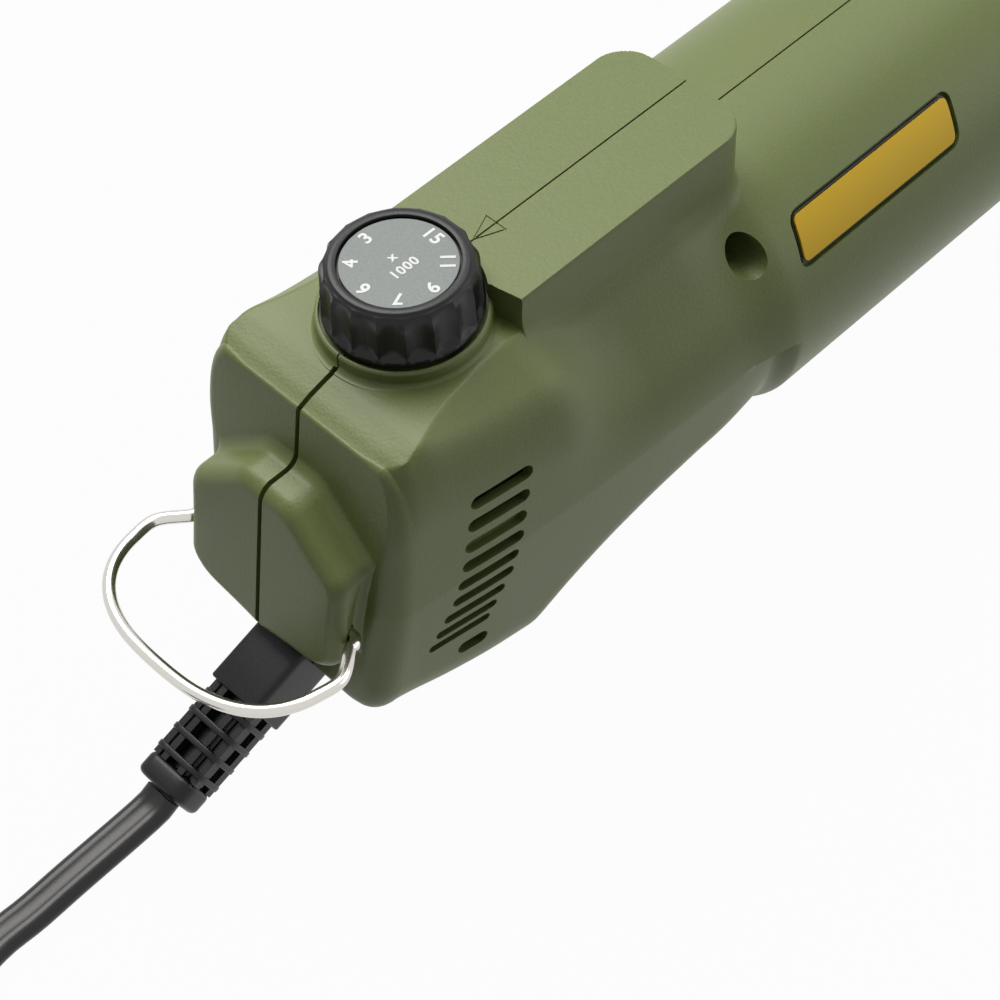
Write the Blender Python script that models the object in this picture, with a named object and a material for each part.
"""Motor unit of a rotary tool that drives a flexible shaft.

Metres, +Z up. +Y points to the output nose and +X to the tool's right side. The origin lies on
the surface that the tool stands on, under the middle of its length. Every piece is worked out in
the tool's own coordinates (y from the foot of the rear face, z from the surface) and hangs from
one empty that puts the tool over the origin.
"""
import math

import bmesh
import bpy
import numpy as np
from mathutils import Matrix, Vector

# ---------------------------------------------------------------- driving dimensions (metres)
CLEARANCE = 0.0003          # gap between touching meshes
WALL = 0.0024               # moulded wall of the housing

AXIS_HEIGHT = 0.0370        # motor axis above the surface; the heel reaches down to it
BARREL_RADIUS = 0.0280
BARREL_REAR = 0.0940
BARREL_FRONT = 0.1720
NECK_STEP = 0.0021           # the barrel steps down by this much behind
NECK_REAR = 0.0760
REAR_WALL = 0.0089          # rear wall's place at the height of the axis
REAR_LEAN = 0.175           # the rear faces lean forward by this much per metre of height
LEAN_END = 0.0300           # where that lean has died out

PANEL_HALF = 0.0135         # raised top panel
PANEL_HEIGHT = 0.0375       # above the motor axis
PANEL_REAR = 0.0455
PANEL_FRONT = 0.0960
PANEL_CORNER = 0.0060

BLOCK_FACE = 0.0019         # rear block's face at the height of the axis
BLOCK_HALF = 0.0166
BLOCK_TOP = 0.0188
BLOCK_BOTTOM = 0.0111
BLOCK_ROUND = 0.0022

DIAL_Y = 0.03515            # speed dial
DIAL_RADIUS = 0.0121
DIAL_RIM_RADIUS = 0.0111
DIAL_LABEL_RADIUS = 0.00875
DIAL_HEIGHT = 0.0090
DIAL_FOOT = 0.0349          # height of the skirt's lower edge above the motor axis
DIAL_RIBS = 18
RING_RADIUS = 0.0131        # moulded ring round the dial
SPINDLE_RADIUS = 0.0030

VENT_COUNT = 9
VENT_WIDTH = 0.0028
VENT_NARROW = 0.0017        # width of the lowest slot of the row
VENT_LENGTH = 0.0118
VENT_TOP = 0.0159           # height of the top slot's middle above the motor axis
VENT_FALL = 0.09            # the slots drop by this much per metre towards the front
VENT_SHORT_LENGTH = 0.0058  # the slot by itself under the row
VENT_SHORT_PLACE = (0.0249, -0.0192)
VENT_INSIDE = 0.0150         # the cutters start here, inside the hollow

SCREW_HEAD_RADIUS = 0.0029
SCREW_SHANK_RADIUS = 0.0013
SCREW_RECESS_RADIUS = 0.0032
SCREW_BOSS_RADIUS = 0.0046
SCREW_REACH = 0.0100        # from the middle plane into the left shell

BADGE_REAR = 0.0975
BADGE_LENGTH = 0.0375
BADGE_LOW = math.radians(28.0)
BADGE_HIGH = math.radians(43.5)
BADGE_THICKNESS = 0.0007
BADGE_RECESS = 0.0009
BADGE_MARGIN = 0.0010

BAIL_WIRE = 0.0021          # hanging bail of steel wire
BAIL_Y = 0.0055
BAIL_Z = -0.0020            # from the motor axis
BAIL_REACH = 0.0240
BAIL_BOW_HALF = 0.0213
BAIL_REST_ANGLE = math.radians(4.0)
BAIL_LEG = BLOCK_HALF + 0.0016      # the legs' distance from the middle plane
BAIL_BEND = 0.0020
BAIL_INNER_END = 0.0090
BAIL_BOW_START = 0.0065             # the bow's widest place, behind the pivot
BAIL_SQUARE = 0.79                  # exponent of the bow's outline: 1 would be an ellipse

BOOT_SLOPE = math.radians(19.6)     # strain relief
BOOT_WIDTH = 0.0106
BOOT_DEPTH = 0.0104
BOOT_START = (0.0150, -0.0186)      # y, and z from the axis, of its inner end
BOOT_ROOT = 0.0215
BOOT_RINGS = 4
BOOT_PITCH = 0.0036
BOOT_COLLAR = 0.0042

CORD_WIDTH = 0.0066
CORD_THICKNESS = 0.0033
LEAD_BEND_Y = -0.0580       # where the free lead starts to swing out to the hank
HANK_Y = -0.1120            # centre of the near folds
HANK_RADIUS = 0.0231        # of the folds, to the lead's middle
HANK_RUN = 0.1330           # straight run between the folds
HANK_TURNS = 4
HANK_LAYER = 0.0034
HANK_FOOT = 0.0014          # the tie passes below the lowest turn
HANK_SOFT = 0.0008
TAIL_LENGTH = 0.0620        # from the hank's top down to the plug between the runs
TIE_WIDTH = 0.0120
TIE_THICKNESS = 0.0008

PLUG_HEIGHT = 0.0075        # middle of the plug, which lies on its flat side
PLUG_LENGTH = 0.0370
PIN_RADIUS = 0.0020
PIN_SPACING = 0.0190
PIN_LENGTH = 0.0190
PIN_SEAT = 0.0060

BUSH_OUTER = 0.0098         # rear bearing and its rubber bush
BEARING_OUTER = 0.0080
BEARING_WIDTH = 0.0050
REAR_BEARING_Y = 0.0590
FRONT_BEARING_OUTER = 0.0110
FRONT_BEARING_WIDTH = 0.0070
SHAFT_RADIUS = 0.0030
SHAFT_REAR = 0.0560
SHAFT_STEP = 0.0008         # the shaft is thicker between its bearings
FRONT_SEAT_STEP = 0.0002
CORE_RADIUS = 0.0145
ARMATURE_TEETH = 12
SLOT_FLOOR = 0.0110
CORE_REAR = 0.0983
CORE_LENGTH = 0.0340
AIR_GAP = 0.0006
STATOR_LEDGE = 0.0025       # ledge that the stator stands against
COIL_INNER = 0.0152         # field coils: inner and outer face, window and height
COIL_OUTER = 0.0192
COIL_WINDOW = 0.0066
COIL_HALF = 0.0115
COIL_OVERHANG = 0.0065
COMMUTATOR_RADIUS = 0.0095
COMMUTATOR_REAR = 0.0700
COMMUTATOR_LENGTH = 0.0120
BRUSH_SET_IN = 0.0050       # from the commutator's rear end to the brushes' middle
BRUSH_WIDTH = 0.0050
BRUSH_HEIGHT = 0.0060
BRUSH_LENGTH = 0.0070
HOLDER_WALL = 0.0014
HOLDER_END = 0.0226         # from the motor axis
SPRING_RADIUS = 0.0018
SPRING_WIRE = 0.00025
FAN_GAP = 0.0038            # from the blades' tips to the stator's bore
FAN_REAR = 0.1480
FAN_LENGTH = 0.0080
FAN_BLADES = 11
FAN_HUB = 0.0080
FAN_DISC = 0.0016

FLANGE_THICKNESS = 0.0060
FLANGE_SPIGOT = 0.0080
FLANGE_SCREW_INSET = 0.0055 # from the barrel's surface to the screws' axes
FLANGE_SCREW_ANGLE = math.radians(25)
FLANGE_SCREW_DEPTH = 0.0080
FLANGE_BOSS_RADIUS = 0.0040
FLANGE_SHANK_RADIUS = 0.0012
NOSE_RADIUS = 0.0105
NOSE_LENGTH = 0.0300
NOSE_BORE = 0.0065
COLLAR_RADIUS = 0.0140
COLLAR_LENGTH = 0.0160
COLLAR_TRAVEL = 0.0040

ROCKER_Y = 0.0570           # on/off rocker in the underside
ROCKER_LENGTH = 0.0150
ROCKER_WIDTH = 0.0100
SWITCH_DEPTH = 0.0100
ROCKER_RIM = 0.0009

BOARD_WIDTH = 0.0360        # speed control board
BOARD_LENGTH = 0.0340
BOARD_THICKNESS = 0.0016
BOARD_REAR = 0.0170
BOARD_HEIGHT = 0.0070       # above the motor axis
TERMINAL_HEIGHT = 0.0085
POT_HALF = 0.0080
POT_HEIGHT = 0.0085

# cross-sections of the handle, rear to front: station, half width, deck's half width, deck's
# height, reach of the lower chamfer, depth of the underside (all but the first from the axis)
HANDLE_SECTIONS = np.array([
    (0.0070, 0.0209, 0.0140, 0.0293, 0.0285, 0.0230),
    (0.0137, 0.0213, 0.0140, 0.0293, 0.0301, 0.0254),
    (0.0148, 0.0214, 0.0172, 0.0297, 0.0304, 0.0259),
    (0.0165, 0.0216, 0.0190, 0.0305, 0.0310, 0.0268),
    (0.0210, 0.0221, 0.0183, 0.0317, 0.0322, 0.0288),
    (0.0253, 0.0226, 0.0165, 0.0320, 0.0331, 0.0309),
    (0.0285, 0.0230, 0.0157, 0.0320, 0.0338, 0.0323),
    (0.0385, 0.0238, 0.0142, 0.0320, 0.0352, 0.0370),
    (0.0460, 0.0244, 0.0138, 0.0319, 0.0320, 0.0338),
    (0.0540, 0.0249, 0.0139, 0.0270, 0.0295, 0.0305),
    (0.0640, 0.0254, 0.0139, 0.0266, 0.0274, 0.0278),
    (0.0760, 0.0258, 0.0139, 0.0266, 0.0259, 0.0259),
    (0.0900, 0.0262, 0.0139, 0.0265, 0.0259, 0.0259)])
SIDE_TAPER = math.radians(4.0)
CHAMFER_ANGLE = math.radians(50.0)

# ---------------------------------------------------------------- sizes that follow from them
HALF_GAP = CLEARANCE / 2
SCREWS = ((0.0883, 0.0183), (ROCKER_Y - 0.0160, -0.0245), (0.1620, 0.0190), (0.1620, -0.0190))
RECESS_FLOOR = 0.0060
NECK_RADIUS = BARREL_RADIUS - NECK_STEP
STATOR_RADIUS = BARREL_RADIUS - WALL - CLEARANCE
THROAT_RADIUS = STATOR_RADIUS - STATOR_LEDGE
FAN_RADIUS = STATOR_RADIUS - FAN_GAP
FLANGE_SCREW_RING = BARREL_RADIUS - FLANGE_SCREW_INSET
HANK_TOP = HANK_FOOT + HANK_TURNS * HANK_LAYER
FLANGE_REAR = BARREL_FRONT + CLEARANCE
NOSE_REAR = FLANGE_REAR + FLANGE_THICKNESS
NOSE_FRONT = NOSE_REAR + NOSE_LENGTH
BOOT_AXIS = Vector((0, -math.cos(BOOT_SLOPE), -math.sin(BOOT_SLOPE)))
BOOT_LENGTH = BOOT_ROOT + BOOT_RINGS * BOOT_PITCH + BOOT_COLLAR
BOOT_TIP_DEPTH = 0.68 * BOOT_DEPTH
BOOT_REAR = BOOT_START[0] + BOOT_LENGTH * BOOT_AXIS.y + BOOT_TIP_DEPTH / 2 * BOOT_AXIS.z
MIDDLE = (NOSE_FRONT + BOOT_REAR) / 2
REAR_BEARING_FRONT = REAR_BEARING_Y + BEARING_WIDTH
FRONT_BEARING_REAR = FLANGE_REAR - FLANGE_SPIGOT

for leftover in list(bpy.data.objects):
    bpy.data.objects.remove(leftover)

tool = bpy.data.objects.new("tool", None)
bpy.context.scene.collection.objects.link(tool)
tool.location = (0, -MIDDLE, 0)


# ---------------------------------------------------------------- helpers
def material(name, colour, roughness, metallic=0.0):
    """A Principled material in one colour (linear RGB)."""
    made = bpy.data.materials.get(name)
    if made is None:
        made = bpy.data.materials.new(name)
        made.use_nodes = True
        shader = made.node_tree.nodes["Principled BSDF"]
        shader.inputs["Base Color"].default_value = (*colour, 1.0)
        shader.inputs["Roughness"].default_value = roughness
        shader.inputs["Metallic"].default_value = metallic
        made.diffuse_color = (*colour, 1.0)
    return made


def green_plastic():
    return material("olive_plastic", (0.16, 0.20, 0.085), 0.5)


def black_plastic():
    return material("black_plastic", (0.012, 0.012, 0.013), 0.42)


def steel():
    return material("steel", (0.56, 0.56, 0.54), 0.28, 1.0)


def copper():
    return material("copper", (0.60, 0.23, 0.10), 0.35, 1.0)


def lamination():
    return material("lamination_steel", (0.20, 0.20, 0.21), 0.55, 0.8)


def rubber():
    return material("rubber", (0.02, 0.02, 0.02), 0.7)


def grey_plastic():
    return material("grey_plastic", (0.18, 0.18, 0.19), 0.5)


def place(name, mesh_data, made_of, location=(0, 0, 0), parent=tool, rotation=(0, 0, 0)):
    """Make one named object of a bmesh, with flat faces grouped into smooth ones by angle."""
    mesh = bpy.data.meshes.new(name)
    bmesh.ops.recalc_face_normals(mesh_data, faces=mesh_data.faces)
    mesh_data.to_mesh(mesh)
    mesh_data.free()
    mesh.shade_smooth()
    mesh.set_sharp_from_angle(angle=math.radians(35))
    piece = bpy.data.objects.new(name, mesh)
    piece.location = location
    piece.rotation_euler = rotation
    piece.parent = parent
    if made_of is not None:
        mesh.materials.append(made_of)
    bpy.context.scene.collection.objects.link(piece)
    return piece


def guide(piece):
    """Hide a cutter."""
    piece.hide_render = True
    piece.display_type = 'WIRE'
    return piece


def boolean(piece, cutter, operation='DIFFERENCE'):
    """Cut with another object, or join it on."""
    change = piece.modifiers.new(operation.lower(), 'BOOLEAN')
    change.operation = operation
    change.solver = 'EXACT'
    change.object = guide(cutter)


def add_box(data, low, high):
    """Add a box between two corners."""
    low, high = Vector(low), Vector(high)
    middle = Matrix.Translation((low + high) / 2)
    bmesh.ops.create_cube(data, size=1.0, matrix=middle @ Matrix.Diagonal((*(high - low), 1.0)))
    return data


def box(low, high):
    return add_box(bmesh.new(), low, high)


def add_turned(data, profile, segments, axis='Y'):
    """Add a turned body: profile is a list of (radius, place along the axis), closed on itself.

    A profile whose ends lie on the axis closes there; any other is a ring.
    """
    angles = np.arange(segments) * 2 * math.pi / segments
    rings = []
    for radius, along in profile:
        if radius < 1e-9:
            rings.append([data.verts.new(turned_point(0, 0, along, axis))])
        else:
            rings.append([data.verts.new(turned_point(radius, a, along, axis)) for a in angles])
    closed = profile[0][0] > 1e-9 or profile[-1][0] > 1e-9
    pairs = list(zip(rings, rings[1:]))
    if closed:
        pairs.append((rings[-1], rings[0]))
    for first, second in pairs:
        for k in range(segments):
            after = (k + 1) % segments
            corners = [first[k % len(first)], first[after % len(first)],
                       second[after % len(second)], second[k % len(second)]]
            unique = list(dict.fromkeys(corners))
            if len(unique) > 2:
                data.faces.new(unique)
    return data


def turned_point(radius, angle, along, axis):
    across, up = radius * math.cos(angle), radius * math.sin(angle)
    if axis == 'Y':
        return across, along, up
    if axis == 'X':
        return along, across, up
    return across, up, along


def turned(profile, segments=32, axis='Y'):
    return add_turned(bmesh.new(), profile, segments, axis)


def add_cylinder(data, radius, start, end, centre=(0, 0, 0), segments=24, axis='Y'):
    """Add a plain cylinder along an axis, its centre line through a point."""
    own = turned([(0, start), (radius, start), (radius, end), (0, end)], segments, axis)
    bmesh.ops.translate(own, verts=own.verts, vec=centre)
    return merge_into(data, own)


def add_tube(data, inner, outer, start, end, centre=(0, 0, 0), segments=24, axis='Y'):
    own = turned([(inner, start), (outer, start), (outer, end), (inner, end)], segments, axis)
    bmesh.ops.translate(own, verts=own.verts, vec=centre)
    return merge_into(data, own)


def merge_into(data, own):
    """Move the geometry of one bmesh into another."""
    bmesh.ops.recalc_face_normals(own, faces=own.faces)
    mesh = bpy.data.meshes.new("scratch")
    own.to_mesh(mesh)
    own.free()
    data.from_mesh(mesh)
    bpy.data.meshes.remove(mesh)
    return data


def cylinder(radius, start, end, centre=(0, 0, 0), segments=24, axis='Y'):
    return add_cylinder(bmesh.new(), radius, start, end, centre, segments, axis)


def tube(inner, outer, start, end, centre=(0, 0, 0), segments=24, axis='Y'):
    return add_tube(bmesh.new(), inner, outer, start, end, centre, segments, axis)


def loft(rows, closed=True):
    """Skin a list of point rings (arrays of the same length) and cap both ends."""
    data = bmesh.new()
    rings = [[data.verts.new(point) for point in row] for row in rows]
    count = len(rings[0])
    for first, second in zip(rings, rings[1:]):
        for k in range(count if closed else count - 1):
            after = (k + 1) % count
            data.faces.new((first[k], first[after], second[after], second[k]))
    data.faces.new(rings[0])
    data.faces.new(list(reversed(rings[-1])))
    return data


# ---------------------------------------------------------------- the housing's outer surface
def smooth_min(a, b, width):
    """The smaller of two values, rounded off where they are within width of each other."""
    overlap = np.maximum(width - np.abs(a - b), 0) / width
    return np.minimum(a, b) - overlap ** 2 * width / 4


def smooth_max(a, b, width):
    return -smooth_min(-a, -b, width)


def smooth_step(value, start, end):
    share = np.clip((value - start) / (end - start), 0, 1)
    return share * share * (3 - 2 * share)


def flat(angle, facing, distance):
    """Polar radius of a flat that faces one way at a distance; far off where it isn't met."""
    return distance / np.maximum(np.cos(angle - facing), 1e-3)


def handle_radius(angle, y):
    """Polar radius of the handle: side, lower chamfer and underside below, deck above."""
    side, deck_half, deck, chamfer, depth = (
        np.interp(y, HANDLE_SECTIONS[:, 0], HANDLE_SECTIONS[:, k]) for k in range(1, 6))
    edge = np.hypot(deck_half, deck)
    tangent = np.arctan2(deck, deck_half) - np.arccos(np.minimum(side / edge, 1))
    upper = side / np.cos(np.maximum(angle - tangent, 0))
    upper = smooth_min(upper, flat(angle, math.pi / 2, deck), 0.0012)
    lower = side * math.cos(SIDE_TAPER) / np.cos(angle + SIDE_TAPER)
    lower = smooth_min(lower, flat(angle, -CHAMFER_ANGLE, chamfer), 0.0030)
    lower = smooth_min(lower, flat(angle, -math.pi / 2, depth), 0.0020)
    return np.where(angle >= 0, upper, lower)


def outer_radius(angle, y):
    """Polar radius of the whole housing about the motor axis, at an angle up from +X."""
    angle = np.arcsin(np.sin(angle))
    barrel = NECK_RADIUS + (BARREL_RADIUS - NECK_RADIUS) * np.where(
        angle > 0, smooth_step(y, 0.0800, BARREL_REAR), smooth_step(y, 0.0890, BARREL_REAR))
    share = smooth_step(y, NECK_REAR, BARREL_REAR)
    radius = handle_radius(angle, y) * (1 - share) + barrel * share
    into_corner = np.clip(y - (PANEL_FRONT - PANEL_CORNER), 0, PANEL_CORNER)
    half = PANEL_HALF - PANEL_CORNER + np.sqrt(PANEL_CORNER ** 2 - into_corner ** 2)
    panel = smooth_min(flat(angle, math.pi / 2, PANEL_HEIGHT), flat(angle, 0.0, half), 0.0008)
    on_panel = (y > PANEL_REAR) & (y < PANEL_FRONT + 1e-6) & (angle > math.radians(45))
    return np.where(on_panel, smooth_max(radius, panel, 0.0016), radius)


def block_radius(angle):
    """Polar radius of the rear block's outline."""
    radius = flat(angle, 0.0, BLOCK_HALF)
    corner = math.radians(53.3)
    radius = smooth_min(radius, flat(angle, corner, 0.968 * BLOCK_TOP), 0.0015)
    radius = smooth_min(radius, flat(angle, math.pi / 2, BLOCK_TOP), 0.0010)
    radius = smooth_min(radius, flat(angle, -math.radians(52), 0.92 * BLOCK_HALF), 0.0012)
    return smooth_min(radius, flat(angle, -math.radians(80.3), BLOCK_BOTTOM), 0.0010)


def lean(station, height):
    """How far forward a point moves because the rear faces lean."""
    return REAR_LEAN * height * np.clip((LEAN_END - station) / (LEAN_END - REAR_WALL), 0, 1)


def edge_round(angle):
    """Radius of the rear wall's outer edge: sharp along the deck, soft round the bottom."""
    return np.interp(angle, np.radians([-90, -30, 0, 40, 58]), [0.004, 0.0035, 0.0025, 0.0015, 0.0007])


STATIONS = np.array([0.0110, 0.0135, 0.0165, 0.0200, 0.0240, 0.0290, 0.0340, 0.0385, 0.0430,
                     PANEL_REAR - 0.0001, PANEL_REAR + 0.0002, 0.0500, 0.0540, 0.0600, 0.0680,
                     NECK_REAR, 0.0820, 0.0880, 0.0910, BARREL_REAR,
                     PANEL_FRONT - 0.0001, PANEL_FRONT + 0.0012, BARREL_FRONT])
ANGLES = np.radians([-90, -80, -70, -62, -55, -48, -41, -34, -25, -14, 0, 12, 24, 34, 43, 50,
                     56, 60, 63.5, 66.5, 69, 71.5, 75, 82, 90])


def housing_rows():
    """Rings of points over half of the housing, from its front to the pole of its rear face."""
    rows = []
    angle = ANGLES

    def row(station, radius):
        height = radius * np.sin(angle)
        rows.append((radius * np.cos(angle), station + lean(station, height), height))

    def on_surface(station):
        first = outer_radius(angle, np.full_like(angle, station))
        return outer_radius(angle, station + lean(station, first * np.sin(angle)))

    for station in STATIONS[::-1]:
        row(station, on_surface(station))
    soft = edge_round(angle)
    rim = on_surface(REAR_WALL)
    for share in (0.5, 0.15, 0.0):
        inset = 1 - math.sqrt(1 - (1 - share) ** 2)
        station = REAR_WALL + soft * share
        height = (rim - soft * inset) * np.sin(angle)
        radius = rim - soft * inset
        rows.append((radius * np.cos(angle), station + lean(REAR_WALL, height), height))
    foot = block_radius(angle)
    wall = np.minimum(foot + 0.0014, rim - soft - 0.0006)
    row(REAR_WALL, wall)
    row(REAR_WALL - 0.0010, np.minimum(foot + 0.0002, wall - 0.0006))
    for share in (1.0, 0.3, 0.0):
        inset = 1 - math.sqrt(1 - (1 - share) ** 2)
        row(BLOCK_FACE + BLOCK_ROUND * share, foot - BLOCK_ROUND * inset)
    row(BLOCK_FACE, foot * 0.45)
    return [np.array(r).T for r in rows]


def housing_half(name, side):
    """One solid half of the housing, closed in the middle plane (side +1 right, -1 left)."""
    data = bmesh.new()
    rings = []
    for points in housing_rows():
        rings.append([data.verts.new((side * (x + HALF_GAP), y, z + AXIS_HEIGHT))
                      for x, y, z in points])
    front = data.verts.new((side * HALF_GAP, BARREL_FRONT, AXIS_HEIGHT))
    rear = data.verts.new((side * HALF_GAP, BLOCK_FACE, AXIS_HEIGHT))
    for first, second in zip(rings, rings[1:]):
        for k in range(len(ANGLES) - 1):
            data.faces.new((first[k], first[k + 1], second[k + 1], second[k]))
    for k in range(len(ANGLES) - 1):
        data.faces.new((front, rings[0][k + 1], rings[0][k]))
        data.faces.new((rear, rings[-1][k], rings[-1][k + 1]))
    low = [ring[0] for ring in rings]
    high = [ring[-1] for ring in rings]
    data.faces.new([front] + low + [rear] + high[::-1])
    return place(name, data, green_plastic())


def chamber(name, start, end, inset, steps):
    """A closed body that follows the housing's surface from inside, between two stations."""
    angles = np.radians(np.arange(0, 360, 15.0))
    rows = []
    for station in np.linspace(start, end, steps):
        first = outer_radius(angles, np.full_like(angles, station)) - inset
        radius = outer_radius(angles, station + lean(station, first * np.sin(angles))) - inset
        height = radius * np.sin(angles)
        rows.append(np.array((radius * np.cos(angles), station + lean(station, height),
                              height + AXIS_HEIGHT)).T)
    return place(name, loft(rows), None)


def along_axis(data):
    """Lift a piece that was made about the origin onto the motor axis."""
    bmesh.ops.translate(data, verts=data.verts, vec=(0, 0, AXIS_HEIGHT))
    return data


def boot_box(half_width, half_depth, start, end):
    """A box along the strain relief's axis, from one distance along it to another."""
    data = add_box(bmesh.new(), (-half_width, -end, -half_depth), (half_width, -start, half_depth))
    turn = Matrix.Rotation(BOOT_SLOPE, 4, 'X')
    shift = Matrix.Translation((0, BOOT_START[0], BOOT_START[1] + AXIS_HEIGHT))
    bmesh.ops.transform(data, matrix=shift @ turn, verts=data.verts)
    return data


def vent_places():
    """Middle, width and length of each side slot: the row closes up towards the bottom."""
    gaps = np.interp(np.arange(VENT_COUNT - 1), [0, 3, VENT_COUNT - 2], [0.0048, 0.00395, 0.00255])
    heights = VENT_TOP - np.concatenate([[0], np.cumsum(gaps)])
    middles = np.interp(heights, [-0.0139, -0.0055, 0.0024, 0.0159], [0.0223, 0.0269, 0.0290, 0.0313])
    widths = np.interp(heights, [-0.0139, 0.0064], [VENT_NARROW, VENT_WIDTH])
    places = [(*place_, VENT_LENGTH) for place_ in zip(middles, heights, widths)]
    return places + [(*VENT_SHORT_PLACE, VENT_WIDTH, VENT_SHORT_LENGTH)]


def vent_cutter(name):
    """All the slots of both sides, as bars with rounded ends that pass through the side walls."""
    data = bmesh.new()
    for slot in vent_places():
        for side in (-1, 1):
            add_slot(data, side, *slot)
    return place(name, data, None)


def add_slot(data, side, middle, height, width, length):
    """One bar with rounded ends, along X, its outline tilted down towards the front."""
    half = width / 2
    reach = length / 2 - half
    turn = np.linspace(-math.pi / 2, math.pi / 2, 4)
    ends = [(reach + half * math.cos(t), half * math.sin(t)) for t in turn]
    ends += [(-y, -z) for y, z in ends]
    rows = [[(side * x, middle + y, height + z - VENT_FALL * y + AXIS_HEIGHT) for y, z in ends]
            for x in (VENT_INSIDE, BARREL_RADIUS + 0.0020)]
    return merge_into(data, loft(rows))


def fittings(name, side, core):
    """What stands inside one shell: posts for both sets of screws and a ledge for the board."""
    inner, outer = sorted((side * HALF_GAP, side * 0.030))
    data = bmesh.new()
    for y, z in SCREWS:
        add_cylinder(data, SCREW_BOSS_RADIUS, inner, outer, (0, y, z + AXIS_HEIGHT), 14, 'X')
    pieces = [place(name + "_posts", data, None)]
    data = bmesh.new()
    for x, z in flange_screw_places():
        if x * side > 0:
            add_cylinder(data, FLANGE_BOSS_RADIUS, BARREL_FRONT - 0.014, BARREL_FRONT - 0.0003,
                         (x, 0, z + AXIS_HEIGHT), 14)
    pieces.append(place(name + "_flange_posts", data, None))
    near, far = sorted((side * (BOARD_WIDTH / 2 - 0.0030), side * 0.030))
    top = BOARD_HEIGHT + AXIS_HEIGHT - CLEARANCE
    pieces.append(place(name + "_ledge", box((near, BOARD_REAR - 0.001, top - 0.0020),
                                             (far, BOARD_REAR + BOARD_LENGTH + 0.001, top)), None))
    for piece in pieces:
        boolean(piece, core, 'INTERSECT')
    return pieces


def flange_screw_places():
    """Across and up from the motor axis."""
    angles = (-FLANGE_SCREW_ANGLE, FLANGE_SCREW_ANGLE)
    return [(side * FLANGE_SCREW_RING * math.cos(a), FLANGE_SCREW_RING * math.sin(a))
            for side in (1, -1) for a in angles]


def housing():
    """Both shells: the solid halves, hollowed, fitted with posts and ledges, then bored."""
    right = housing_half("housing_right", 1)
    left = housing_half("housing_left", -1)
    top = DIAL_FOOT - 0.0002
    pad = place("ring_pad", turned([
        (0, top - 0.0107), (RING_RADIUS + 0.0010, top - 0.0107), (RING_RADIUS + 0.0002, top - 0.0022),
        (RING_RADIUS, top - 0.0005), (RING_RADIUS - 0.0004, top), (0, top)], 36, 'Z'),
        None, (0, DIAL_Y, AXIS_HEIGHT))
    guide(pad)
    rooms = [
        chamber("rear_room", REAR_WALL + 0.0026, 0.0550, WALL, 9),
        chamber("middle_room", REAR_BEARING_FRONT + 0.001, BARREL_REAR + 0.001, WALL, 6),
        place("front_room", along_axis(cylinder(STATOR_RADIUS + CLEARANCE, CORE_REAR - CLEARANCE,
                                                BARREL_FRONT + 0.01, segments=40)), None),
        place("throat", along_axis(cylinder(THROAT_RADIUS, BARREL_REAR, CORE_REAR + 0.001,
                                            segments=32)), None),
        place("bearing_room", along_axis(turned([
            (0, 0.050), (0.0065, 0.050), (0.0065, REAR_BEARING_Y - CLEARANCE),
            (BUSH_OUTER + CLEARANCE, REAR_BEARING_Y - CLEARANCE),
            (BUSH_OUTER + CLEARANCE, 0.080), (0, 0.080)], 24)), None),
        place("dial_seat", cylinder(DIAL_RADIUS + 0.0004, DIAL_FOOT - 0.0012, DIAL_FOOT + 0.02,
                                    segments=32, axis='Z'), None, (0, DIAL_Y, AXIS_HEIGHT)),
        place("spindle_hole", cylinder(SPINDLE_RADIUS + 0.0012, 0.0200, DIAL_FOOT,
                                       segments=14, axis='Z'), None, (0, DIAL_Y, AXIS_HEIGHT)),
        vent_cutter("vents"),
        place("boot_passage", boot_box(BOOT_WIDTH / 2 + CLEARANCE, BOOT_DEPTH / 2 + CLEARANCE,
                                       -0.004, 0.025), None),
        place("rocker_window", rocker_box(ROCKER_LENGTH / 2 + CLEARANCE, ROCKER_WIDTH / 2 + CLEARANCE,
                                          -0.012, SWITCH_DEPTH + CLEARANCE), None)]
    core = chamber("mid_wall", REAR_WALL + 0.0013, BARREL_FRONT, WALL / 2, 40)
    recess = place("badge_recess", badge_patch(BADGE_MARGIN, -BADGE_RECESS, 0.006), None)
    bores, recesses = [], [recess]
    for y, z in SCREWS:
        where = (0, y, z + AXIS_HEIGHT)
        recesses.append(place("screw_recess", cylinder(SCREW_RECESS_RADIUS, RECESS_FLOOR, 0.040,
                                                       segments=16, axis='X'), None, where))
        bores.append(place("screw_bore", cylinder(SCREW_SHANK_RADIUS + CLEARANCE,
                                                  -SCREW_REACH - CLEARANCE, RECESS_FLOOR + 0.001,
                                                  segments=10, axis='X'), None, where))
    for x, z in flange_screw_places():
        bores.append(place("flange_screw_bore", cylinder(
            FLANGE_SHANK_RADIUS + CLEARANCE, BARREL_FRONT - FLANGE_SCREW_DEPTH - CLEARANCE,
            BARREL_FRONT + 0.01, segments=8), None, (x, 0, z + AXIS_HEIGHT)))
    for half, side, cuts in ((right, 1, bores + recesses), (left, -1, bores)):
        boolean(half, pad_half(half.name, pad), 'UNION')
        combine(half, rooms, 'DIFFERENCE')
        combine(half, fittings(half.name, side, core), 'UNION')
        combine(half, cuts + [bail_bore(half.name + "_bail_bore", side)], 'DIFFERENCE')


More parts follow.
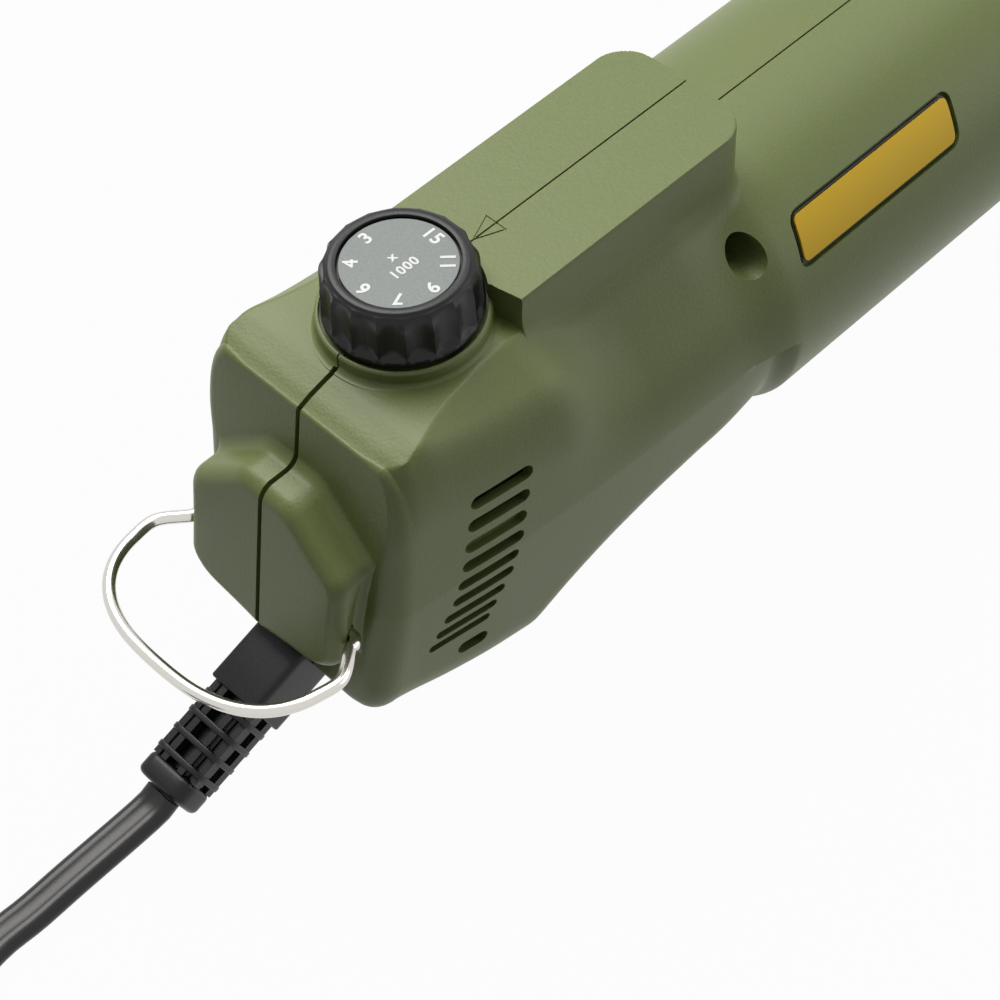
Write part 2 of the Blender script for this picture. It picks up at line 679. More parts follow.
def combine(piece, others, operation):
    """Cut or join several objects at once.

    The exact solver leaves open slivers where so many many-sided surfaces meet, so this one is
    the manifold solver, which only needs every body to be closed.
    """
    group = bpy.data.collections.new(piece.name + "_" + operation.lower())
    bpy.context.scene.collection.children.link(group)
    for other in others:
        group.objects.link(guide(other))
    change = piece.modifiers.new(operation.lower(), 'BOOLEAN')
    change.operation = operation
    change.solver = 'MANIFOLD'
    change.operand_type = 'COLLECTION'
    change.collection = group


def bail_bore(name, side):
    """A blind bore for one end of the bail, from the block's side inwards."""
    low, high = sorted((side * 0.0085, side * 0.030))
    return place(name, cylinder(BAIL_WIRE / 2 + CLEARANCE, low, high,
                                (0, BAIL_Y, BAIL_Z + AXIS_HEIGHT), 16, 'X'), None)


def pad_half(name, pad):
    """The half of the dial's ring that belongs to one shell."""
    side = 1 if name.endswith("right") else -1
    low, high = sorted((side * HALF_GAP, side * 0.03))
    keep = place(name + "_pad_keep", box((low, 0.0, 0.0), (high, 0.1, 0.1)), None)
    own = pad.copy()
    own.name = name + "_pad"
    bpy.context.scene.collection.objects.link(own)
    boolean(own, keep, 'INTERSECT')
    return own


def rocker_box(half_length, half_width, below, above):
    """A box that stands on the underside's slope where the on/off rocker sits."""
    slope = rocker_slope()
    data = box((-half_width, -half_length, below), (half_width, half_length, above))
    shift = Matrix.Translation((0, ROCKER_Y, AXIS_HEIGHT + rocker_height()))
    bmesh.ops.transform(data, matrix=shift @ Matrix.Rotation(slope, 4, 'X'), verts=data.verts)
    return data


def rocker_height():
    return -float(np.interp(ROCKER_Y, HANDLE_SECTIONS[:, 0], HANDLE_SECTIONS[:, 5]))


def rocker_slope():
    ahead, behind = (np.interp(ROCKER_Y + d, HANDLE_SECTIONS[:, 0], HANDLE_SECTIONS[:, 5])
                     for d in (0.004, -0.004))
    return math.atan2(behind - ahead, 0.008)


def badge_patch(margin, low, high):
    """A curved plate on the barrel's right side, its rear end slanted."""
    more = margin / BARREL_RADIUS
    slant = 0.0015
    rows = []
    for share in np.linspace(0, 1, 7):
        angle = BADGE_LOW - more + share * (BADGE_HIGH - BADGE_LOW + 2 * more)
        rear = BADGE_REAR - margin + slant * share
        front = BADGE_REAR + BADGE_LENGTH + margin + slant * share
        row = []
        for radius, y in ((BARREL_RADIUS + low, rear), (BARREL_RADIUS + low, front),
                          (BARREL_RADIUS + high, front), (BARREL_RADIUS + high, rear)):
            row.append((radius * math.cos(angle) + HALF_GAP, y, radius * math.sin(angle) + AXIS_HEIGHT))
        rows.append(row)
    return loft(rows)


def badge():
    """Plain yellow plate in its shallow recess."""
    foot = CLEARANCE - BADGE_RECESS
    place("badge_plate", badge_patch(0.0, foot, foot + BADGE_THICKNESS),
          material("badge_yellow", (0.62, 0.44, 0.012), 0.35))


def housing_screws():
    """The four housing screws, their heads at the bottom of the recesses."""
    head = RECESS_FLOOR + CLEARANCE
    for number, (y, z) in enumerate(SCREWS, 1):
        place(f"housing_screw_{number}", turned([
            (0, -SCREW_REACH), (SCREW_SHANK_RADIUS, 0.0005 - SCREW_REACH),
            (SCREW_SHANK_RADIUS, head), (SCREW_HEAD_RADIUS, head),
            (SCREW_HEAD_RADIUS, head + 0.0015), (0.6 * SCREW_HEAD_RADIUS, head + 0.0024),
            (0, head + 0.0024)], 12, 'X'), steel(), (0, y, z + AXIS_HEIGHT))


# ---------------------------------------------------------------- dial
def dial():
    """Ribbed knob, its label disc and the potentiometer's spindle, all turning about +Z."""
    pivot = (0, DIAL_Y, AXIS_HEIGHT + DIAL_FOOT)
    shoulder = DIAL_HEIGHT - 0.0022
    rim = DIAL_HEIGHT + 0.0005
    data = bmesh.new()
    per_rib = 3
    count = DIAL_RIBS * per_rib
    rings = []
    profile = [(DIAL_RADIUS, 0.0, 1.0), (DIAL_RADIUS - 0.0001, shoulder - 0.0006, 1.0),
               (DIAL_RADIUS - 0.0004, shoulder, 0.0), (DIAL_RIM_RADIUS, rim - 0.0004, 0.0),
               (DIAL_RIM_RADIUS - 0.0009, rim, 0.0), (DIAL_LABEL_RADIUS + CLEARANCE, rim - 0.0002, 0.0),
               (DIAL_LABEL_RADIUS + CLEARANCE, DIAL_HEIGHT - 0.0006, 0.0)]
    for radius, height, ribbed in profile:
        ring = []
        for k in range(count):
            groove = 0.0010 * ribbed * (k % per_rib == 0)
            angle = 2 * math.pi * (k + 0.5) / count
            ring.append(data.verts.new(((radius - groove) * math.cos(angle),
                                        (radius - groove) * math.sin(angle), height)))
        rings.append(ring)
    for first, second in zip(rings, rings[1:]):
        for k in range(count):
            after = (k + 1) % count
            data.faces.new((first[k], first[after], second[after], second[k]))
    data.faces.new(rings[0])
    data.faces.new(rings[-1][::-1])
    knob = place("dial_knob", data, black_plastic(), pivot)
    hole = place("spindle_socket", cylinder(SPINDLE_RADIUS + CLEARANCE, -0.01, 0.0050,
                                            segments=14, axis='Z'), None, pivot)
    boolean(knob, hole)
    place("dial_label", turned([(0, DIAL_HEIGHT - 0.0006 + CLEARANCE),
                                (DIAL_LABEL_RADIUS, DIAL_HEIGHT - 0.0006 + CLEARANCE),
                                (DIAL_LABEL_RADIUS, DIAL_HEIGHT), (0, DIAL_HEIGHT)], 32, 'Z'),
          material("label_grey", (0.30, 0.33, 0.31), 0.4, 0.3), pivot)
    place("dial_spindle", cylinder(SPINDLE_RADIUS, pot_top() - DIAL_FOOT + CLEARANCE,
                                   0.0050 - CLEARANCE, segments=14, axis='Z'), steel(), pivot)


def pot_top():
    """Top of the potentiometer's bush, above the motor axis."""
    return DIAL_FOOT - 0.0075


# ---------------------------------------------------------------- hanging bail
def bail():
    """Wire bow whose two ends turn in bores in the rear block's sides."""
    turn = np.linspace(0, math.pi / 2, 4)
    knee = [(BAIL_LEG - BAIL_BEND + BAIL_BEND * math.sin(t), BAIL_BEND * math.cos(t) - BAIL_BEND)
            for t in turn]
    reach = BAIL_REACH - BAIL_BOW_START
    bow = [(BAIL_BOW_HALF * math.cos(t) ** BAIL_SQUARE, -BAIL_BOW_START - reach * math.sin(t) ** BAIL_SQUARE)
           for t in np.linspace(0, math.pi / 2, 9)[:-1]]
    half = [(BAIL_INNER_END, 0.0)] + knee + bow
    path = [Vector((x, y, 0)) for x, y in half + [(0.0, -BAIL_REACH)]]
    path += [Vector((-x, y, 0)) for x, y in reversed(half)]
    place("hanging_bail", sweep(path, BAIL_WIRE / 2, 6), steel(),
          (0, BAIL_Y, AXIS_HEIGHT + BAIL_Z), rotation=(-BAIL_REST_ANGLE, 0, 0))


def sweep(path, radius, sides):
    """A round wire along a path that lies in one plane."""
    rows = []
    for k, point in enumerate(path):
        before = path[max(k - 1, 0)]
        after = path[min(k + 1, len(path) - 1)]
        along = (after - before).normalized()
        across = along.cross(Vector((0, 0, 1))).normalized()
        ring = []
        for s in range(sides):
            angle = 2 * math.pi * s / sides
            ring.append(point + across * radius * math.cos(angle)
                        + Vector((0, 0, 1)) * radius * math.sin(angle))
        rows.append(ring)
    return loft(rows)


# ---------------------------------------------------------------- strain relief and lead
def rounded_outline(half_width, half_depth, corner):
    """Twelve points round a rectangle with rounded corners, counter-clockwise."""
    points = []
    for quarter in range(4):
        sx, sz = ((1, 1), (-1, 1), (-1, -1), (1, -1))[quarter]
        for t in (0, math.pi / 4, math.pi / 2):
            angle = quarter * math.pi / 2 + t
            points.append((sx * (half_width - corner) + corner * math.cos(angle),
                           sz * (half_depth - corner) + corner * math.sin(angle)))
    return points


def boot_rows():
    """Sections of the strain relief along its axis: root block, thin rings, end collar."""
    width, depth = BOOT_WIDTH / 2, BOOT_DEPTH / 2
    core = (width * 0.72, depth * 0.66, 0.0014)
    ring = (width * 0.98, depth * 0.92, 0.0020)
    rows = [(0.0, (width, depth, 0.0010)), (BOOT_ROOT, (width, depth, 0.0010)),
            (BOOT_ROOT + 0.0001, core)]
    for k in range(BOOT_RINGS):
        middle = BOOT_ROOT + (k + 0.62) * BOOT_PITCH
        rows += [(middle - 0.0006, core), (middle - 0.0005, ring), (middle + 0.0005, ring),
                 (middle + 0.0006, core)]
    start = BOOT_ROOT + BOOT_RINGS * BOOT_PITCH
    rows += [(start, core), (start + 0.0001, (width * 0.98, depth * 0.86, 0.0020)),
             (start + BOOT_COLLAR - 0.0008, (width * 0.92, depth * 0.82, 0.0020)),
             (start + BOOT_COLLAR, (width * 0.78, BOOT_TIP_DEPTH / 2, 0.0020))]
    return rows


def strain_relief():
    turn = Matrix.Rotation(BOOT_SLOPE, 4, 'X')
    shift = Matrix.Translation((0, BOOT_START[0], BOOT_START[1] + AXIS_HEIGHT))
    rows = []
    for along, (half_width, half_depth, corner) in boot_rows():
        outline = rounded_outline(half_width, half_depth, corner)
        rows.append([shift @ turn @ Vector((x, -along, z)) for x, z in outline])
    place("strain_relief", loft(rows), black_plastic())


def boot_point(along):
    """A point on the strain relief's axis."""
    start = Vector((0, BOOT_START[0], BOOT_START[1] + AXIS_HEIGHT))
    return start + BOOT_AXIS * along


def smooth_route(points, spacing):
    """Points at an even spacing on a smooth curve (Catmull-Rom) through the route's own points."""
    points = [Vector(p) for p in points]
    ends = [2 * points[0] - points[1]] + points + [2 * points[-1] - points[-2]]
    fine = []
    for p0, p1, p2, p3 in zip(ends, ends[1:], ends[2:], ends[3:]):
        for t in np.arange(0, 1, 0.02):
            fine.append(0.5 * (2 * p1 + (p2 - p0) * t + (2 * p0 - 5 * p1 + 4 * p2 - p3) * t ** 2
                               + (3 * p1 - p0 - 3 * p2 + p3) * t ** 3))
    fine.append(points[-1])
    lengths = np.concatenate([[0], np.cumsum([(b - a).length for a, b in zip(fine, fine[1:])])])
    count = max(int(lengths[-1] / spacing), 2) + 1
    wanted = np.linspace(0, lengths[-1], count)
    table = np.array([tuple(p) for p in fine])
    return np.array([np.interp(wanted, lengths, table[:, k]) for k in range(3)]).T


def swing(share):
    """How far the lead has moved sideways after a share of a bend to and fro: from 0 to 1."""
    return share * share * (3 - 2 * share)


def lead_tube(name, route):
    """A free stretch of the lead as one tube along a smooth curve."""
    curve = bpy.data.curves.new(name, 'CURVE')
    curve.dimensions = '3D'
    curve.bevel_depth = CORD_THICKNESS / 2
    curve.bevel_resolution = 2
    curve.use_fill_caps = True
    spline = curve.splines.new('POLY')
    spline.points.add(len(route) - 1)
    for point, place_ in zip(spline.points, route):
        point.co = (*place_, 1.0)
    curve.materials.append(black_plastic())
    lead = bpy.data.objects.new(name, curve)
    lead.parent = tool
    bpy.context.scene.collection.objects.link(lead)


def cord():
    """The free lead down to the surface and back to the hank."""
    exit_point = boot_point(BOOT_LENGTH + CLEARANCE)
    rest = CORD_THICKNESS / 2 + 0.0004
    layer = HANK_FOOT + CORD_THICKNESS / 2 + 0.0001
    route = [exit_point, exit_point + BOOT_AXIS * 0.004,
             (0.0, -0.0420, rest + 0.0006), (0.0, -0.0500, rest), (0.0, LEAD_BEND_Y, rest)]
    for share in (0.2, 0.4, 0.6, 0.8, 1.0):
        route.append((HANK_RADIUS * swing(share), LEAD_BEND_Y + (HANK_Y - LEAD_BEND_Y) * share,
                      rest + (layer - rest) * share))
    clear = HANK_RADIUS + CORD_WIDTH / 2 + CORD_THICKNESS / 2 + CLEARANCE
    points = smooth_route(route, 2.5 * CORD_THICKNESS)
    lead_tube("cord", [p for p in points if math.hypot(p[0], p[1] - HANK_Y) > clear])


def hank():
    """The stored length: turns folded on each other, as one long ring with soft edges."""
    half, soft = CORD_WIDTH / 2, HANK_SOFT
    section = [(-half, HANK_FOOT + soft), (soft - half, HANK_FOOT), (half - soft, HANK_FOOT),
               (half, HANK_FOOT + soft), (half, HANK_TOP - soft), (half - soft, HANK_TOP),
               (soft - half, HANK_TOP), (-half, HANK_TOP - soft)]
    near = np.linspace(0, math.pi, 10)
    turns = [(angle, HANK_Y) for angle in near]
    turns += [(angle + math.pi, HANK_Y - HANK_RUN) for angle in near]
    data = bmesh.new()
    rings = [[data.verts.new(((HANK_RADIUS + out) * math.cos(angle),
                              y + (HANK_RADIUS + out) * math.sin(angle), z)) for out, z in section]
             for angle, y in turns]
    for first, second in zip(rings, rings[1:] + rings[:1]):
        for k in range(len(section)):
            after = (k + 1) % len(section)
            data.faces.new((first[k], first[after], second[after], second[k]))
    place("cord_hank", data, black_plastic())


def tail():
    """The end of the lead, off the top of the hank and down between its runs to the plug."""
    high = HANK_TOP + CORD_THICKNESS / 2 + CLEARANCE
    route = [(HANK_RADIUS * math.cos(angle), HANK_Y + HANK_RADIUS * math.sin(angle), high)
             for angle in (1.0, 0.5)]
    for share in (0.0, 0.17, 0.34, 0.5, 0.67, 0.84, 1.0):
        fall = swing(max(share - 0.34, 0) / 0.66)
        route.append((HANK_RADIUS * (1 - swing(share)), HANK_Y - TAIL_LENGTH * share,
                      high - (high - PLUG_HEIGHT) * fall))
    lead_tube("cord_tail", smooth_route(route, 2.5 * CORD_THICKNESS))


def tie():
    """A strap round the runs on one side."""
    reach = CORD_WIDTH / 2 + CLEARANCE
    middle = (-HANK_RADIUS, HANK_Y - HANK_RUN / 2)
    inner = ((middle[0] - reach, HANK_FOOT - CLEARANCE), (middle[0] + reach, HANK_TOP + CLEARANCE))
    low, high = middle[1] - TIE_WIDTH / 2, middle[1] + TIE_WIDTH / 2
    strap = place("cord_tie", box((inner[0][0] - TIE_THICKNESS, low, inner[0][1] - TIE_THICKNESS),
                                  (inner[1][0] + TIE_THICKNESS, high, inner[1][1] + TIE_THICKNESS)),
                  rubber())
    boolean(strap, place("tie_hole", box((inner[0][0], low - 0.01, inner[0][1]),
                                         (inner[1][0], high + 0.01, inner[1][1])), None))


def plug():
    """Flat two-pin plug, lying between the runs of the hank."""
    sections = [(0.0, 0.0040, 0.0032), (0.0100, 0.0055, 0.0045), (0.0150, 0.0150, 0.0068),
                (0.0220, 0.0175, 0.0073), (PLUG_LENGTH, 0.0172, 0.0073)]
    rear = HANK_Y - TAIL_LENGTH - CLEARANCE
    rows = []
    for along, half_width, half_height in sections:
        outline = rounded_outline(half_width, half_height, min(0.0025, half_height * 0.6))
        rows.append([(px, rear - along, PLUG_HEIGHT + pz) for px, pz in outline])
    body = place("plug_body", loft(rows), black_plastic())
    pin_start = rear - PLUG_LENGTH
    for side, label in ((1, "right"), (-1, "left")):
        centre = (side * PIN_SPACING / 2, 0, PLUG_HEIGHT)
        hole = place("pin_hole", cylinder(PIN_RADIUS + CLEARANCE, pin_start - PIN_LENGTH,
                                          pin_start + PIN_SEAT + CLEARANCE, segments=14),
                     None, centre)
        boolean(body, hole)
        place("plug_pin_" + label, cylinder(PIN_RADIUS, pin_start - PIN_LENGTH,
                                            pin_start + PIN_SEAT, segments=14), steel(), centre)


# ---------------------------------------------------------------- motor
def motor():
    axis = (0, 0, AXIS_HEIGHT)
    core_front = CORE_REAR + CORE_LENGTH
    stator = place("stator_core", tube(CORE_RADIUS + AIR_GAP, STATOR_RADIUS, CORE_REAR,
                                       core_front, segments=36), lamination(), axis)
    for side, label in ((1, "right"), (-1, "left")):
        winding, room = field_coil(side, core_front)
        boolean(stator, place("coil_room_" + label, room, None, axis))
        winding = place("field_coil_" + label, winding, copper(), axis)
        window = box((min(side * 0.01, side * 0.03), CORE_REAR - CLEARANCE, -COIL_WINDOW),
                     (max(side * 0.01, side * 0.03), core_front + CLEARANCE, COIL_WINDOW))
        boolean(winding, place("coil_window_" + label, window, None, axis))
    place("armature_core", armature_stack(core_front), lamination(), axis)
    shaft_front = NOSE_REAR + 0.010
    place("armature_shaft", turned([
        (0, SHAFT_REAR), (SHAFT_RADIUS, SHAFT_REAR), (SHAFT_RADIUS, 0.0690),
        (SHAFT_RADIUS + SHAFT_STEP, 0.0690), (SHAFT_RADIUS + SHAFT_STEP, FRONT_BEARING_REAR - 0.001),
        (SHAFT_RADIUS + FRONT_SEAT_STEP, FRONT_BEARING_REAR - 0.001), (SHAFT_RADIUS + FRONT_SEAT_STEP, shaft_front),
        (0, shaft_front)], 16), steel(), axis)
    bore = SHAFT_RADIUS + SHAFT_STEP + CLEARANCE
    armature_winding(bore, core_front)
    place("commutator", commutator(bore), copper(), axis)
    fan(bore, axis)
    bearings(axis)
    brushes()
    socket_bore = SHAFT_RADIUS + FRONT_SEAT_STEP + CLEARANCE
    socket = place("drive_socket", turned([
        (socket_bore, shaft_front - 0.006), (0.0052, shaft_front - 0.006), (0.0052, shaft_front + 0.012),
        (0, shaft_front + 0.012), (0, shaft_front + CLEARANCE), (socket_bore, shaft_front + CLEARANCE)],
        16), steel(), axis)
    key = place("key_slot", box((-0.0017, shaft_front + 0.003, -0.0017),
                                (0.0017, shaft_front + 0.03, 0.0017)), None, axis)
    boolean(socket, key)


def field_coil(side, core_front):
    """A rectangular loop of wire round one pole of the stator, and the room it takes there."""
    low, high = sorted((side * COIL_INNER, side * COIL_OUTER))
    end = COIL_OVERHANG
    coil = box((low, CORE_REAR - end, -COIL_HALF), (high, core_front + end, COIL_HALF))
    along_x = [e for e in coil.edges if abs(e.verts[0].co.x - e.verts[1].co.x) > 1e-6]
    bmesh.ops.bevel(coil, geom=along_x, offset=0.0035, segments=3, affect='EDGES')
    room = bmesh.new()
    low, high = sorted((side * COMMUTATOR_RADIUS, side * (COIL_OUTER + CLEARANCE)))
    for up in (-1, 1):
        bottom, top = sorted((up * (COIL_WINDOW - CLEARANCE), up * (COIL_HALF + CLEARANCE)))
        add_box(room, (low, CORE_REAR - end, bottom), (high, core_front + end, top))
    return coil, room


def armature_stack(core_front):
    """The armature's laminated core: a toothed outline, extruded along the shaft."""
    outline = []
    for k in range(ARMATURE_TEETH):
        for share, radius in ((-0.36, CORE_RADIUS), (0.0, CORE_RADIUS), (0.36, CORE_RADIUS),
                              (0.40, SLOT_FLOOR), (0.60, SLOT_FLOOR)):
            angle = 2 * math.pi * (k + share) / ARMATURE_TEETH
            outline.append((radius * math.cos(angle), radius * math.sin(angle)))
    bore = SHAFT_RADIUS + SHAFT_STEP + CLEARANCE
    hole = [(bore * x / math.hypot(x, z), bore * z / math.hypot(x, z)) for x, z in outline]
    data = bmesh.new()
    rings = [[data.verts.new((x, y, z)) for x, z in shape]
             for y, shape in ((CORE_REAR, outline), (core_front, outline),
                              (core_front, hole), (CORE_REAR, hole))]
    for first, second in zip(rings, rings[1:] + rings[:1]):
        for k in range(len(outline)):
            after = (k + 1) % len(outline)
            data.faces.new((first[k], first[after], second[after], second[k]))
    return data


def armature_winding(bore, core_front):
    """Wire heads at both ends of the core, joined by the bundles that lie in its slots."""
    bundle = box((SLOT_FLOOR + CLEARANCE, CORE_REAR - 0.003, -0.00035),
                 (CORE_RADIUS - 0.0006, core_front + 0.003, 0.00035))
    bars = bmesh.new()
    for k in range(ARMATURE_TEETH):
        own = bundle.copy()
        turn = Matrix.Rotation(2 * math.pi * (k + 0.5) / ARMATURE_TEETH, 3, 'Y')
        bmesh.ops.rotate(own, verts=own.verts, matrix=turn)
        merge_into(bars, own)
    bundle.free()
    axis = (0, 0, AXIS_HEIGHT)
    heads = []
    for start, end in ((CORE_REAR - 0.0100, CORE_REAR - CLEARANCE),
                       (core_front + CLEARANCE, core_front + 0.0090)):
        heads.append(place("winding_head", turned([
            (bore, start), (0.0095, start), (0.0128, (start + end) / 2), (0.0128, end - 0.0008),
            (0.0120, end), (bore, end)], 16), copper(), axis))
    winding, front_head = heads
    winding.name = "armature_winding"
    boolean(winding, place("slot_bundles", bars, None, axis), 'UNION')
    boolean(winding, front_head, 'UNION')


def commutator(bore):
    """Copper bars round the shaft, with a raised end where the wires are hooked on."""
    end = COMMUTATOR_REAR + COMMUTATOR_LENGTH
    return turned([(bore, COMMUTATOR_REAR), (COMMUTATOR_RADIUS, COMMUTATOR_REAR),
                   (COMMUTATOR_RADIUS, end - 0.002), (COMMUTATOR_RADIUS + 0.0012, end - 0.002),
                   (COMMUTATOR_RADIUS + 0.0012, end), (bore, end)], 24)


def fan(bore, axis):
    """A hub, a disc and straight blades, which draw air forward through the slots."""
    front = FAN_REAR + FAN_LENGTH
    hub = place("fan", tube(bore, FAN_HUB, FAN_REAR, front, segments=16), grey_plastic(), axis)
    inside = FAN_HUB - 0.0010
    disc = place("fan_disc", tube(inside, FAN_RADIUS, front - FAN_DISC, front, segments=28), None, axis)
    blades = bmesh.new()
    for k in range(FAN_BLADES):
        own = box((inside, FAN_REAR, -0.0006), (FAN_RADIUS - 0.0003, front - FAN_DISC / 2, 0.0006))
        turn = Matrix.Rotation(2 * math.pi * k / FAN_BLADES, 3, 'Y')
        bmesh.ops.rotate(own, verts=own.verts, matrix=turn)
        merge_into(blades, own)
    boolean(hub, disc, 'UNION')
    boolean(hub, place("fan_blades", blades, None, axis), 'UNION')


def bearings(axis):
    """Two ball bearings; the rear one in a rubber bush."""
    rear_start = REAR_BEARING_Y + CLEARANCE
    for name, bore, outer, start, end in (
            ("rear_bearing", SHAFT_RADIUS + CLEARANCE, BEARING_OUTER, rear_start, REAR_BEARING_FRONT),
            ("front_bearing", SHAFT_RADIUS + FRONT_SEAT_STEP + CLEARANCE,
             FRONT_BEARING_OUTER - CLEARANCE, FRONT_BEARING_REAR,
             FRONT_BEARING_REAR + FRONT_BEARING_WIDTH)):
        low, high = bore + (outer - bore) * 0.33, bore + (outer - bore) * 0.67
        dip = 0.0005
        place(name, turned([(bore, start), (low, start), (low, start + dip), (high, start + dip),
                            (high, start), (outer, start), (outer, end), (high, end),
                            (high, end - dip), (low, end - dip), (low, end), (bore, end)], 18),
              steel(), axis)
    place("bearing_bush", tube(BEARING_OUTER + CLEARANCE, BUSH_OUTER, rear_start,
                               REAR_BEARING_FRONT, segments=20), rubber(), axis)


def brushes():
    """Carbon brushes in their holders on both sides of the commutator, pressed by coil springs."""
    where = (0, COMMUTATOR_REAR + BRUSH_SET_IN, AXIS_HEIGHT)
    face = COMMUTATOR_RADIUS + CLEARANCE
    across, up = BRUSH_WIDTH / 2, BRUSH_HEIGHT / 2
    wall = HOLDER_WALL + CLEARANCE
    end = face + BRUSH_LENGTH
    floor = HOLDER_END - HOLDER_WALL
    carbon = material("carbon", (0.02, 0.02, 0.02), 0.6)
    brass = material("brass", (0.60, 0.42, 0.12), 0.35, 1.0)
    for turn, label in (((0, 0, 0), "right"), ((0, 0, math.pi), "left")):
        place("carbon_brush_" + label, box((face, -across, -up), (end, across, up)), carbon,
              where, rotation=turn)
        holder = place("brush_holder_" + label, box(
            (face + 0.0015, -across - wall, -up - wall), (HOLDER_END, across + wall, up + wall)),
            brass, where, rotation=turn)
        room = box((face - 0.01, -across - CLEARANCE, -up - CLEARANCE),
                   (floor, across + CLEARANCE, up + CLEARANCE))
        boolean(holder, place("brush_room_" + label, room, None, where, rotation=turn))
        coils = spring(end + CLEARANCE, floor - CLEARANCE, SPRING_RADIUS, SPRING_WIRE, 3.0)
        place("brush_spring_" + label, coils, steel(), where, rotation=turn)


def spring(start, end, radius, wire, turns):
    """A coil spring along +X: a round wire swept along a helix."""
    sides, steps = 4, int(turns * 9)
    rows = []
    length = end - start - 2 * wire
    for k in range(steps + 1):
        angle = 2 * math.pi * turns * k / steps
        out = Vector((0, math.cos(angle), math.sin(angle)))
        centre = Vector((start + wire + length * k / steps, 0, 0)) + out * radius
        ring = []
        for s in range(sides):
            t = 2 * math.pi * s / sides
            ring.append(centre + out * wire * math.cos(t) + Vector((1, 0, 0)) * wire * math.sin(t))
        rows.append(ring)
    return loft(rows)


# ---------------------------------------------------------------- controls and wiring
def controls():
    """The speed control board on its ledges, with what is soldered to it."""
    top = AXIS_HEIGHT + BOARD_HEIGHT
    half = BOARD_WIDTH / 2
    place("control_board", box((-half, BOARD_REAR, top),
                               (half, BOARD_REAR + BOARD_LENGTH, top + BOARD_THICKNESS)),
          material("board_green", (0.02, 0.16, 0.06), 0.4))
    above = top + BOARD_THICKNESS + CLEARANCE
    pot = place("potentiometer", box((-POT_HALF, DIAL_Y - POT_HALF, above),
                                     (POT_HALF, DIAL_Y + POT_HALF, above + POT_HEIGHT)),
                grey_plastic())
    bush = cylinder(SPINDLE_RADIUS + 0.0010, above + POT_HEIGHT - 0.001, AXIS_HEIGHT + pot_top(),
                    (0, DIAL_Y, 0), 20, 'Z')
    boolean(pot, place("pot_bush", bush, None), 'UNION')
    place("capacitor", box((-0.0155, BOARD_REAR + 0.0020, above),
                           (-0.0095, BOARD_REAR + 0.0150, above + 0.0090)),
          material("capacitor_yellow", (0.65, 0.45, 0.05), 0.5))
    below = top - CLEARANCE
    place("terminal_block", box((-0.0080, BOARD_REAR + 0.0040, below - TERMINAL_HEIGHT),
                                (0.0080, BOARD_REAR + 0.0130, below)), grey_plastic())
    switch()
    inner_lead()


def switch():
    """Rocker switch in a window of the underside: its body inside, the rocker outside."""
    slope = rocker_slope()
    where = (0, ROCKER_Y, AXIS_HEIGHT + rocker_height())
    half_length, half_width = ROCKER_LENGTH / 2, ROCKER_WIDTH / 2
    rotation = (slope, 0, 0)
    rim, gap = ROCKER_RIM, CLEARANCE
    body = place("switch_body", box((-half_width, -half_length, -0.0006),
                                    (half_width, half_length, SWITCH_DEPTH)),
                 black_plastic(), where, rotation=rotation)
    boolean(body, place("rocker_pocket", box((rim - half_width, rim - half_length, -0.01),
                                             (half_width - rim, half_length - rim, 0.0035)),
                        None, where, rotation=rotation))
    end = half_length - rim - gap
    outline = [(-end, -0.0014), (0.0, 0.0002), (end, -0.0024), (end - 0.0006, 0.0012),
               (0.0, 0.0020), (0.0006 - end, 0.0012)]
    side = half_width - rim - gap
    rows = [[(x, y, z) for y, z in outline] for x in (-side, side)]
    place("switch_rocker", loft(rows), material("rocker_red", (0.45, 0.02, 0.02), 0.4), where,
          rotation=rotation)


def inner_lead():
    """The lead inside, from the strain relief up to the terminal block."""
    inner = boot_point(-CLEARANCE)
    top = AXIS_HEIGHT + BOARD_HEIGHT - TERMINAL_HEIGHT - 3 * CLEARANCE
    end = Vector((0, BOARD_REAR + 0.0080, top))
    path = smooth_route([inner, inner + Vector((0, 0.0060, 0.0030)),
                         end + Vector((0, 0.0005, -0.0060)), end], 0.002)
    rows = []
    across = Vector((1, 0, 0))
    for k, point in enumerate(path):
        along = Vector(path[min(k + 1, len(path) - 1)]) - Vector(path[max(k - 1, 0)])
        up = across.cross(along.normalized())
        rows.append([Vector(point) + across * CORD_WIDTH / 2 * math.cos(t)
                     + up * CORD_THICKNESS / 2 * math.sin(t)
                     for t in np.arange(10) * 2 * math.pi / 10])
    place("inner_lead", loft(rows), black_plastic())


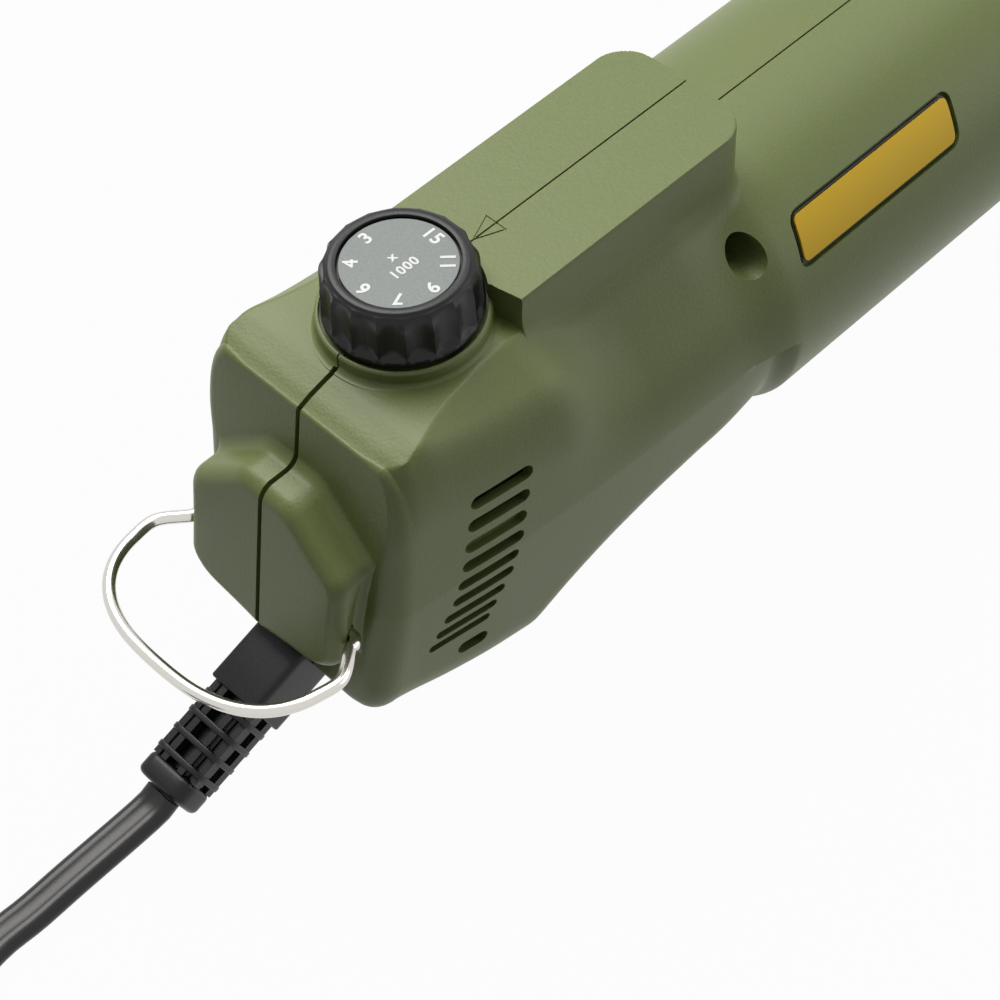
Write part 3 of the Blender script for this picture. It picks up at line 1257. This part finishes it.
# ---------------------------------------------------------------- output end
def output():
    axis = (0, 0, AXIS_HEIGHT)
    rear, front = FLANGE_REAR, FLANGE_REAR + FLANGE_THICKNESS
    spigot = rear - FLANGE_SPIGOT
    seat_end = FRONT_BEARING_REAR + FRONT_BEARING_WIDTH + CLEARANCE
    metal = material("cast_zinc", (0.45, 0.45, 0.46), 0.38, 1.0)
    flange = place("front_flange", turned([
        (FRONT_BEARING_OUTER, spigot), (FRONT_BEARING_OUTER + 0.0025, spigot),
        (FRONT_BEARING_OUTER + 0.0025, rear), (BARREL_RADIUS - 0.0005, rear),
        (BARREL_RADIUS, rear + 0.0008), (BARREL_RADIUS - 0.0010, front - 0.0020),
        (BARREL_RADIUS - 0.0035, front), (SHAFT_RADIUS + 0.0030, front),
        (SHAFT_RADIUS + 0.0030, seat_end), (FRONT_BEARING_OUTER, seat_end)], 32), metal, axis)
    place("output_nose", turned([
        (NOSE_BORE, front + CLEARANCE), (NOSE_RADIUS + 0.0045, front + CLEARANCE),
        (NOSE_RADIUS + 0.0045, front + 0.0060), (NOSE_RADIUS, front + 0.0060),
        (NOSE_RADIUS, NOSE_FRONT - 0.0010), (NOSE_RADIUS - 0.0010, NOSE_FRONT),
        (NOSE_BORE, NOSE_FRONT)], 28), metal, axis)
    tip = BARREL_FRONT - FLANGE_SCREW_DEPTH
    for number, (x, z) in enumerate(flange_screw_places(), 1):
        where = (x, 0, AXIS_HEIGHT + z)
        boolean(flange, place("flange_bore", cylinder(FLANGE_SHANK_RADIUS + CLEARANCE, rear - 0.01,
                                                      front + 0.01, segments=8), None, where))
        place(f"flange_screw_{number}", turned([
            (0, tip), (FLANGE_SHANK_RADIUS, tip), (FLANGE_SHANK_RADIUS, front + CLEARANCE),
            (0.0024, front + CLEARANCE), (0.0024, front + 0.0018), (0.0018, front + 0.0024),
            (0, front + 0.0024)], 10), steel(), where)
    start = NOSE_REAR + 0.0060 + CLEARANCE + COLLAR_TRAVEL
    place("locking_collar", turned([
        (NOSE_RADIUS + CLEARANCE, start), (COLLAR_RADIUS - 0.0010, start),
        (COLLAR_RADIUS, start + 0.0010), (COLLAR_RADIUS, start + 0.0060),
        (COLLAR_RADIUS - 0.0010, start + 0.0070), (COLLAR_RADIUS - 0.0010, start + 0.0085),
        (COLLAR_RADIUS, start + 0.0095), (COLLAR_RADIUS, start + COLLAR_LENGTH - 0.0012),
        (COLLAR_RADIUS - 0.0012, start + COLLAR_LENGTH), (NOSE_RADIUS + CLEARANCE, start + COLLAR_LENGTH)],
        28), steel(), axis)


housing()
housing_screws()
badge()
dial()
bail()
strain_relief()
cord()
hank()
tail()
tie()
plug()
motor()
controls()
output()
